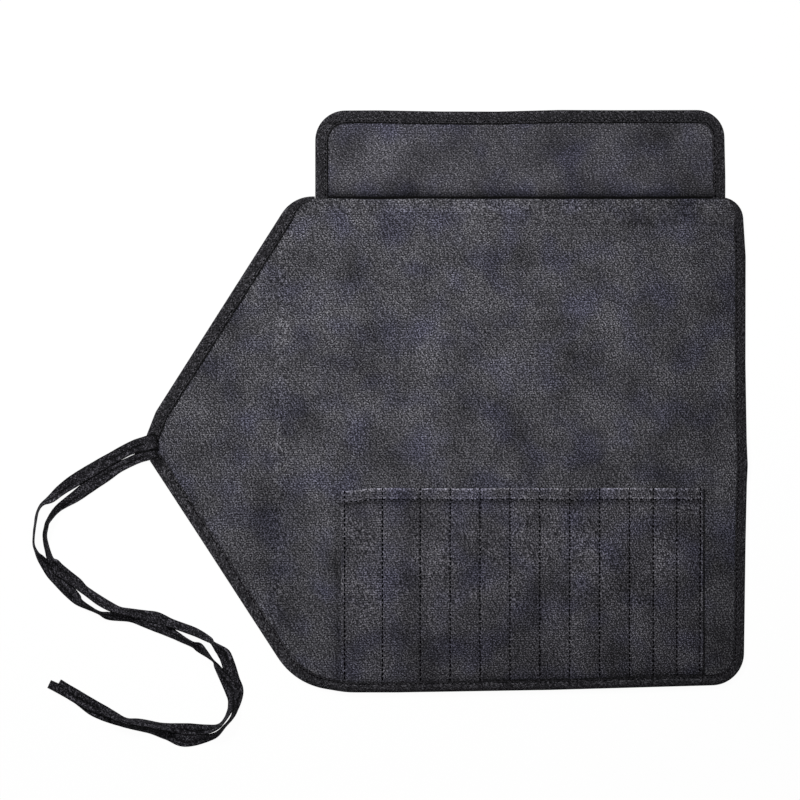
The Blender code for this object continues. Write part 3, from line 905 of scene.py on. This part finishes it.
# flap: one bound cloth behind the body's upper edge
flapLook = {
    "foot": 391.0, "spacing": 3.0, "tapeSpacing": 2.4, "low": 0.35, "thick": 0.75,
    "radius": 22, "lip": 1.1, "inset": 1.0,
    "stitch": (8.3, 1.2), "top": (0.75, 0.35),
    "dip": (0.75, 394.5, 4.0),           # how deep the cloth sinks towards the body's edge
    "shadow": (1.08, 395.2, 5.0), "lowerShade": (0.04, 415, 16),      # painted shadow of the body's edge on the flap
    "footRows": (392.2, 393.4, 394.2, 394.8, 395.4, 396.2, 397.2, 398.6, 400.4, 402.6), "rows": 24,
    "outside": [(10.0, 0.06), (9.0, 0.0), (5.0, 0.0), (2.4, 0.03), (1.0, 0.15), (0.3, 0.4), (0.0, 0.75),
                (0.3, 1.1), (1.0, 1.34), (2.2, 1.46), (4.0, 1.46), (6.0, 1.40), (7.6, 1.30), (8.3, 1.16),
                (8.9, 1.30), (9.5, 1.42), (9.85, 1.38), (10.0, 1.25)],
    "inside": [(10.0, 0.30), (9.0, 0.32), (5.0, 0.32), (2.6, 0.34), (1.5, 0.42), (0.85, 0.55), (0.6, 0.75),
               (0.85, 0.92), (1.5, 1.04), (2.6, 1.1), (4.2, 1.1), (6.0, 1.1), (7.6, 1.08), (8.3, 1.02),
               (8.9, 1.06), (9.5, 1.1), (9.85, 1.1), (10.0, 1.1)],
}


def flapRest(x, y):
    return max(0.05 + 0.05 * ripple(x, y, 60, 14.2) * rise(y, roll["height"], 12), 0.0)


def flapDip(y):
    deep, start, run = flapLook["dip"]
    return deep * bell(max(y, start), start, run)


def bendFlap(obj):
    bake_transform(obj)


def flapPiece(name, number, grids, material, a, b):
    # one strip of the flap; all but the last run on into the next
    lip = flapLook["lip"] if b < len(grids[0]) - 1 else 0
    piece = loftPiece(f"{name}_{number:02d}", *grids, material, a, b, lip)
    bendFlap(piece)
    return piece


def makeFlapCloth(look, corners, cuts):
    left, right = roll["flapSides"]
    top, foot = roll["flapTop"], look["foot"]
    outline = roundCorners(insetCorners(corners, look["inset"]), True)
    side = look["inset"] + 1e-6
    xs = columnsBetween(left + side, right - side, look["spacing"], cuts)
    strength, start, run = look["shadow"]
    last, count = look["footRows"][-1], look["rows"]
    rows = []
    for x in xs:
        _, high = spanAt(outline, x)
        ys = [foot, *look["footRows"]] + [last + (high - last) * i / count for i in range(1, count + 1)]
        row = []
        for y in ys:
            z = look["low"] + look["thick"] + flapRest(x, y) - flapDip(y)
            z = max(z, look["thick"] * 0.45 + 0.05)
            # painted shadow of the body's edge across the flap's lower part
            dark = strength * np.exp(-max(y - start, 0) / run) + band(look["lowerShade"], y)
            row.append((world(x, y, z), world(x, y, max(z - look["thick"], 0.03)), (x, y + 700, dark)))
        rows.append(row)
    grids = gridsOf(rows)
    stations = [0] + [xs.index(c) for c in cuts] + [len(xs) - 1]
    for number, (a, b) in enumerate(zip(stations, stations[1:]), 3):
        piece = flapPiece("flapCloth", number, grids, flapCanvas, a, b)
        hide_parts(f"flap_{number:02d}")
    return len(stations) - 1


def makeFlapTape(look, corners, cuts):
    left, right = roll["flapSides"]
    foot = look["foot"] + 1.5
    run = roundCorners([(right + 0.2, foot, 0)] + corners[2:] + [(left, foot, 0)], False)
    path, along = resample(run, look["tapeSpacing"], cuts)
    outer, inner, place = bindingRows(path, along, look, noLift,
                                      lambda x, y: flapRest(x, y) - 0.8 * flapDip(y) * (y < 402),
                                      lambda s: 1.0)
    outer[:, :, 2] = np.maximum(outer[:, :, 2], 0.0)
    inner[:, :, 2] = np.maximum(inner[:, :, 2], 0.12 * mm)
    stations = cutsAt(path, cuts)
    runs = [(15 - k, a, b) for k, (a, b) in enumerate(zip(stations, stations[1:]))]
    for number, a, b in runs:
        flapPiece("flapTape", number, (outer, inner, place), bindingTape, a, b)
    return path, along, runs


def makeFlap(look):
    left, right = roll["flapSides"]
    top, foot, radius = roll["flapTop"], look["foot"], look["radius"]
    corners = [(left, foot, 0), (right + 0.2, foot, 0), (right + 0.2, 412, 0),
               (right - 1.0, top + 0.6, radius), (375, top + 0.4, 0), (330, top + 0.6, 0),
               (281, top - 0.7, 0), (235, top - 0.6, 0), (185, top + 0.3, 0), (left, top, radius + 2)]
    cuts = [h for h in hinges if left < h < right]
    count = makeFlapCloth(look, corners, cuts)
    path, along, runs = makeFlapTape(look, corners, cuts)
    print("flap made,", count + len(runs), "pieces")
    return path, along, runs


flapPath, flapAlong, flapRuns = makeFlap(flapLook)


# ties: flat tapes that lean and turn on their way; x, y from the anchor, height, seen width
tieAnchor = (9.0, 195.0)
upperRoute = [
    (0.0, 5.3, 4.7, 12.8), (-8.6, 3.2, 4.2, 12.0), (-18.2, 0.8, 2.6, 10.3), (-30.2, -4.9, 1.8, 9.4),
    (-61.8, -23.5, 1.4, 10.2), (-76.6, -33.4, 0.8, 8.4), (-85.0, -40.7, 0.7, 6.4),
    (-91.0, -44.3, 0.7, 2.9), (-94.2, -48.2, 0.7, 1.9), (-96.6, -55.5, 0.7, 2.0),
    (-99.0, -74.5, 0.7, 1.7), (-96.6, -83.3, 0.7, 2.8), (-93.4, -88.3, 0.7, 6.0),
    (-89.0, -94.3, 0.7, 8.2), (-82.2, -102.5, 0.7, 10.0), (-67.4, -118.3, 0.7, 9.1),
    (-60.8, -124.5, 0.7, 5.8), (-47.6, -131.1, 0.7, 2.8), (-39.0, -134.4, 0.7, 6.4),
    (-21.4, -136.1, 0.7, 6.8), (-5.4, -141.5, 0.7, 8.0), (11.2, -148.3, 0.7, 7.4),
    (26.8, -156.7, 0.7, 4.6), (33.6, -160.1, 0.7, 7.2), (44.4, -169.7, 0.7, 1.9),
    (47.6, -174.3, 1.2, 4.6), (54.0, -185.1, 2.1, 8.0), (58.6, -193.1, 2.1, 10.2),
    (60.8, -200.7, 1.9, 9.6), (57.2, -211.3, 1.0, 3.0), (50.6, -221.3, 0.8, 2.0),
    (40.2, -224.9, 0.8, 6.6), (23.4, -225.2, 0.9, 9.2), (4.0, -222.8, 0.8, 5.2),
    (-14.2, -219.7, 0.9, 5.2), (-25.4, -218.0, 1.2, 4.0), (-38.2, -212.2, 1.9, 6.6),
    (-54.2, -204.9, 2.1, 10.0), (-71.8, -194.7, 2.1, 10.2), (-80.0, -189.7, 2.1, 10.2),
]
lowerRoute = [
    (0.0, -3.5, 3.5, 8.0), (-7.6, -6.3, 3.2, 7.4), (-16.4, -8.9, 1.4, 7.4), (-30.4, -15.3, 0.7, 8.0),
    (-39.9, -21.0, 0.7, 9.8), (-56.9, -32.5, 0.7, 9.8), (-65.4, -38.8, 0.7, 8.8),
    (-79.0, -48.3, 0.7, 5.1), (-86.8, -58.1, 0.7, 2.6), (-88.8, -63.5, 0.7, 2.1),
    (-89.8, -72.5, 0.7, 2.2), (-85.6, -88.3, 1.4, 4.0), (-82.2, -92.7, 1.9, 8.0),
    (-78.4, -97.9, 2.0, 9.8), (-65.0, -107.9, 1.9, 8.5), (-57.2, -114.5, 0.9, 6.3),
    (-42.6, -124.5, 0.8, 7.2), (-30.6, -129.9, 0.9, 5.4), (-16.6, -132.7, 1.2, 6.6),
    (-9.4, -134.4, 1.4, 8.4), (-0.6, -136.3, 1.4, 9.4), (13.4, -141.3, 0.8, 6.4),
    (29.8, -147.3, 0.7, 6.1), (41.6, -153.3, 0.7, 3.8), (44.4, -156.3, 0.7, 2.0),
    (51.2, -163.1, 0.7, 8.8), (54.8, -168.3, 0.7, 10.0), (60.2, -184.7, 0.7, 10.0),
    (64.4, -195.9, 0.7, 8.0), (61.2, -212.1, 0.7, 2.9), (53.8, -222.1, 0.7, 1.8),
    (44.2, -230.4, 0.7, 5.0), (22.6, -234.3, 0.7, 9.6), (7.4, -229.9, 0.7, 7.2),
    (-6.2, -225.9, 0.7, 5.0), (-22.2, -222.2, 0.7, 4.6), (-38.0, -217.0, 0.7, 6.6),
    (-51.6, -209.4, 0.7, 9.6), (-66.4, -199.2, 0.7, 8.4), (-86.6, -188.8, 0.7, 6.8),
]
tieLook = {
    "thick": 1.1, "least": 8.1, "spacing": 1.5, "wave": 0.15, "selvedge": 0.5,
    "across": 15,            # points in each row
    "swell": (1.0, 13, 4),   # the tape spreads where it leaves the tip: by how much, where, how far
    # across the tape, from the middle at 0 to the selvedge at 1: strength, place, width
    "seam": (0.16, 0.72, 0.09),
    # painted shade in the wandering creases, and a painted highlight on the ridge beside each
    "fold": (1.0, 0, 0.22), "ridgeHighlight": (0.75, 0.5, 0.2),
}


def smoothRoute(route, spacing):
    # evenly spaced (x, y, z, width) on a smooth curve through the route
    points = np.array(route, float)
    ends = np.vstack([2 * points[0] - points[1], points, 2 * points[-1] - points[-2]])
    dense = []
    for i in range(len(points) - 1):
        p0, p1, p2, p3 = ends[i:i + 4]
        for k in range(20):
            t = k / 20
            dense.append(0.5 * (2 * p1 + (p2 - p0) * t + (2 * p0 - 5 * p1 + 4 * p2 - p3) * t ** 2
                                + (3 * p1 - p0 - 3 * p2 + p3) * t ** 3))
    dense = np.array(dense + [points[-1]])
    marks = np.concatenate([[0], np.cumsum(np.linalg.norm(np.diff(dense[:, :3], axis=0), axis=1))])
    at = np.linspace(0, marks[-1], round(marks[-1] / spacing) + 1)
    return np.stack([np.interp(at, marks, dense[:, i]) for i in range(4)], axis=1), at


def tieShade(u, s, lean, look, seed):
    # painted shade on the selvedges and on one side near the tip, painted shadow at the sewn end under its
    # own fold, and painted shade in creases that wander along the tape, with a painted highlight on the
    # fold beside each
    crease = rise(lean * u, 0.62, 0.12) * fall(s, 23, 6)
    fold = u - 0.55 * ripple(s, seed, 34, 6.1)
    bent = smooth(0.7 + 1.8 * ripple(s, seed + 3, 26, 1.7))
    folds = bent * (line(look["fold"], fold) - line(look["ridgeHighlight"], fold))
    return min(rise(abs(u), 0.76, 0.12) + crease + fall(s, 1.9, 0.6) + folds, 1.0)


def makeTie(name, route, lean, look, seed):
    curve, along = smoothRoute(route, look["spacing"])
    half = look["thick"] / 2
    rows, centres = [], []
    direction = np.gradient(curve[:, :2], axis=0)
    direction /= np.linalg.norm(direction, axis=1, keepdims=True)
    for (x, y, z, width), s, (dx, dy) in zip(curve, along, direction):
        width += look["selvedge"]
        # where less than the tape's width is seen it stands on edge
        tilt = lean * acos(min(1.0, max(width, 0.8) / look["least"])) if width < look["least"] else 0.0
        real = max(width, look["least"]) + look["wave"] * 2 * ripple(s, seed, 9, 2.9)
        cx, cy = tieAnchor[0] + x, tieAnchor[1] + y
        z += abs(sin(tilt)) * real / 2
        side = (-dy * cos(tilt), dx * cos(tilt), sin(tilt))
        up = (dy * sin(tilt), -dx * sin(tilt), cos(tilt))
        row = []
        for j in range(look["across"]):
            u = cos(pi * j / (look["across"] - 1))          # 1 to -1 across the tape
            w = u * real / 2 + lean * smooth(lean * u) * line(look["swell"], s)
            t = half * max(1 - abs(u) ** 6, 0) ** 0.5
            curl = 0.35 * ripple(s, seed + 5, 14, 1.1) * u * u + 0.2 * ripple(s + 9 * u, seed, 6, 3.3)
            dip = line(look["seam"], abs(u)) if abs(u) < 0.95 else 0
            above, below = [world(cx + side[0] * w + up[0] * h, cy + side[1] * w + up[1] * h,
                                  max(z + side[2] * w + up[2] * h, 0.02))
                            for h in (t - dip + curl, curl - (t - dip))]
            row.append((above, below, (s, w + 20 * seed, tieShade(u, s, lean, look, seed))))
        rows.append(row[::-1])
        centres.append(world(cx, cy, z))
    piece = loftPiece(name, *gridsOf(rows), tieTape, 0, len(rows) - 1)
    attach(piece, "strip_01")
    return piece


upperTie = makeTie("upperTie", upperRoute, 1, tieLook, 1)
lowerTie = makeTie("lowerTie", lowerRoute, -1, tieLook, 2)
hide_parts("upper_tie")
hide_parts("lower_tie")
print("ties made")


# stitches: short black capsules that sit in small dips of the cloth, drawn wider than the thread
# so that they also hold the painted shade of the dimple each stitch makes
stitchLook = {
    "length": 2.5, "width": 1.3, "height": 0.40, "stray": 0.20,
    "seamSize": 1.25, "hemSize": 0.95, "edgeSize": 0.8, "shadowRowSize": 0.9,
    "shadowRow": (193.2, 1.6, 10),            # a close row of black stitches standing in for the shadow line at the ties' root: first, pitch, count
}


def makeStitches(name, spots, look):
    # spots are (x, y, height, along x, along y, upper side or not, size)
    mesh = bmesh.new()
    for n, (x, y, z, ax, ay, up, size) in enumerate(spots):
        length = hypot(ax, ay)
        ax, ay = ax / length, ay / length
        stray = look["stray"] * (1 if n % 2 else -1) + 0.12 * ripple(x, y, 3.1, 7.2)
        rings = []
        for u in (-1, -0.82, -0.35, 0.35, 0.82, 1):
            full = max(1 - u * u, 0) ** 0.5 * size
            run, ring = u * look["length"] * (0.5 + 0.5 * size) / 2, []
            for k in range(5):
                side = stray + cos(pi * k / 4) * look["width"] / 2 * full
                high = sin(pi * k / 4) * look["height"] * full * (1 if up else -1)
                place = (x + ax * run - ay * side, y + ay * run + ax * side, z + high)
                ring.append(mesh.verts.new(world(*place)))
            rings.append(ring)
        for a, b in zip(rings, rings[1:]):
            for k in range(4):
                corners = (a[k], b[k], b[k + 1], a[k + 1])
                mesh.faces.new(corners if up else corners[::-1])
    bmesh.ops.remove_doubles(mesh, verts=mesh.verts, dist=2e-6)
    data = bpy.data.meshes.new(name)
    mesh.to_mesh(data)
    mesh.free()
    data.materials.append(blackThread)
    data.shade_smooth()
    return addObject(name, data)


def seamX(i, y):
    # the last seam slants a little
    slant = 0.8 * (roll["mouth"] - y) / 150 if i == 12 else 0
    return roll["seams"][i] - slant


def makeSeams(look):
    count = 0
    for i, seam in enumerate(roll["seams"]):
        k = min(i, 11)
        left, right = roll["seams"][k], roll["seams"][k + 1]
        spots = []
        y = mouthLine(seam) - 0.9
        while y > footLine(seam) - 0.6:
            x = seamX(i, y)
            top = bodyTop(x, y) + max(pocketHeight(seam, y, left, right, pocketLook), 0.65)
            spots.append((x, y, top - 0.06, 0, 1, True, look["seamSize"]))
            spots.append((x, y, bodyTop(x, y) - bodyLook["thick"] + 0.04, 0, 1, False, 0.7))
            y -= roll["pitch"]
        obj = makeStitches(f"seamThread_{i + 1:02d}", spots, look)
        near = [n for n, h in enumerate(hinges, 1) if abs(h - seam) < 1]
        if near:
            bendAcross(obj)
        else:
            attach(obj, f"strip_{stripAt(seam):02d}")
        count += len(spots)
    for k, (body, left, right) in enumerate(pocketPieces):
        spots = []
        number = max(2, round((right - left) / roll["pitch"]))
        for j in range(number):
            x = left + (right - left) * (j + 0.5) / number
            y = mouthLine(x) - pocketLook["hem"] - pocketLook["hemStitch"]
            top = bodyTop(x, y) + pocketHeight(x, y, left, right, pocketLook)
            spots.append((x, y, top - 0.05, 1, 0, True, look["hemSize"]))
        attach(makeStitches(f"hemThread_{k + 1:02d}", spots, look), body)
        count += len(spots)
    # a close row of black stitches at the tip that stands in for the shadow line at the ties' root
    first, pitch, number = look["shadowRow"]
    shadowRow = []
    for j in range(number):
        y = first + pitch * j
        x = 9.3 + 0.9 * rise(y, 203, 6)
        shadowRow.append((x, y, bodyTop(x, y) + 0.25, 0.1, 1, True, look["shadowRowSize"]))
    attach(makeStitches("tipShadowRow", shadowRow, look), "strip_01")
    return count + len(shadowRow)


def edgeSpots(path, along, a, b, look, share, raised, rest):
    # stitches along a folded tape, on its top and underneath
    spots = []
    inset, high = look["stitch"]
    normals = pathNormals(path)
    xs, ys = [p[0] for p in path], [p[1] for p in path]
    s = ceil((along[a] + 0.4) / roll["pitch"]) * roll["pitch"]
    while s < along[b] - 0.4:
        x, y, nx, ny = [np.interp(s, along, values) for values in (xs, ys, normals[:, 0], normals[:, 1])]
        f = share(s)
        if f > 0.35:
            x, y = x + nx * inset * f, y + ny * inset * f
            h = rest(x, y)
            spots.append((x, y, high + h + raised(x, y) - 0.05, ny, -nx, True, stitchLook["edgeSize"]))
            spots.append((x, y, 0.05 + h, ny, -nx, False, 0.6))
        s += roll["pitch"]
    return spots


def makeEdgeSeams():
    count = 0
    for name, number, path, along, a, b in bindingPieces:
        spots = edgeSpots(path, along, a, b, bindingLook, lambda s: tapeShare(name, s, along[-1]),
                          overPockets, drape)
        if spots:
            bendAcross(makeStitches(f"edgeThread_{name}_{number:02d}", spots, stitchLook))
            count += len(spots)
    for number, a, b in flapRuns:
        spots = edgeSpots(flapPath, flapAlong, a, b, flapLook, lambda s: 1.0, noLift, flapRest)
        if spots:
            bendFlap(makeStitches(f"flapThread_{number:02d}", spots, stitchLook))
            count += len(spots)
    return count


print("stitches made,", makeSeams(stitchLook) + makeEdgeSeams())


# floor and light
studio = {
    "floor": (0.80, 0.80, 0.80, 1), "floorRadius": 6, "floorLow": 0.2,
    "glow": 1.04, "glowShare": 0.93,     # how white the floor is for the camera
    "world": 0.16,
    "key": {"place": (-0.05, 0.16, 0.42), "aim": (-0.02, 0.10, 0.0), "size": (0.44, 0.22), "power": 0.86},
    "rake": {"place": (-0.75, 0.85, 0.85), "aim": (-0.02, 0.02, 0.0), "size": (0.25, 0.25), "power": 9.5},
}


def makeFloor(s):
    mesh = bpy.data.meshes.new("floor")
    disc = bmesh.new()
    bmesh.ops.create_circle(disc, cap_ends=True, segments=64, radius=s["floorRadius"])
    disc.to_mesh(mesh)
    disc.free()
    floor = addObject("floor", mesh)
    floor.location.z = -s["floorLow"] * mm
    material, tree, shader = newMaterial("studioFloor")
    grain = noiseTone(tree, addNode(tree, "ShaderNodeTexCoord").outputs["Object"], 20 * mm)
    tone = mixColour(tree, grain, s["floor"], tuple(c * 0.985 for c in s["floor"][:3]) + (1,))
    tree.links.new(tone, shader.inputs["Base Color"])
    shader.inputs["Roughness"].default_value = 0.9
    shader.inputs["Specular IOR Level"].default_value = 0.1
    glow = addNode(tree, "ShaderNodeEmission", {"Color": (1, 1, 1, 1), "Strength": s["glow"]})
    path = addNode(tree, "ShaderNodeLightPath")
    share = times(tree, path.outputs["Is Camera Ray"], s["glowShare"])
    mix = addNode(tree, "ShaderNodeMixShader", {0: share, 1: shader.outputs[0], 2: glow.outputs[0]})
    output = next(n for n in tree.nodes if n.type == "OUTPUT_MATERIAL")
    tree.links.new(mix.outputs[0], output.inputs[0])
    mesh.materials.append(material)


def makeLight(name, s):
    data = bpy.data.lights.new(name, "AREA")
    data.shape = "RECTANGLE"
    data.size, data.size_y = s["size"]
    data.energy = s["power"]
    light = addObject(name, data)
    light.location = s["place"]
    light.rotation_euler = (Vector(s["aim"]) - Vector(s["place"])).to_track_quat("-Z", "Y").to_euler()


def makeStudio(s):
    makeFloor(s)
    makeLight("keyLight", s["key"])
    makeLight("rakeLight", s["rake"])
    sky = bpy.data.worlds.new("studioWorld")
    sky.use_nodes = True
    tree = sky.node_tree
    background = tree.nodes["Background"]
    background.inputs[0].default_value = (1, 1, 1, 1)
    path = addNode(tree, "ShaderNodeLightPath")
    strength = plus(tree, times(tree, path.outputs["Is Camera Ray"], 1 - s["world"]), s["world"])
    tree.links.new(strength, background.inputs[1])
    bpy.context.scene.world = sky
    bpy.context.scene.view_settings.view_transform = "Standard"


makeStudio(studio)
print("studio ready")
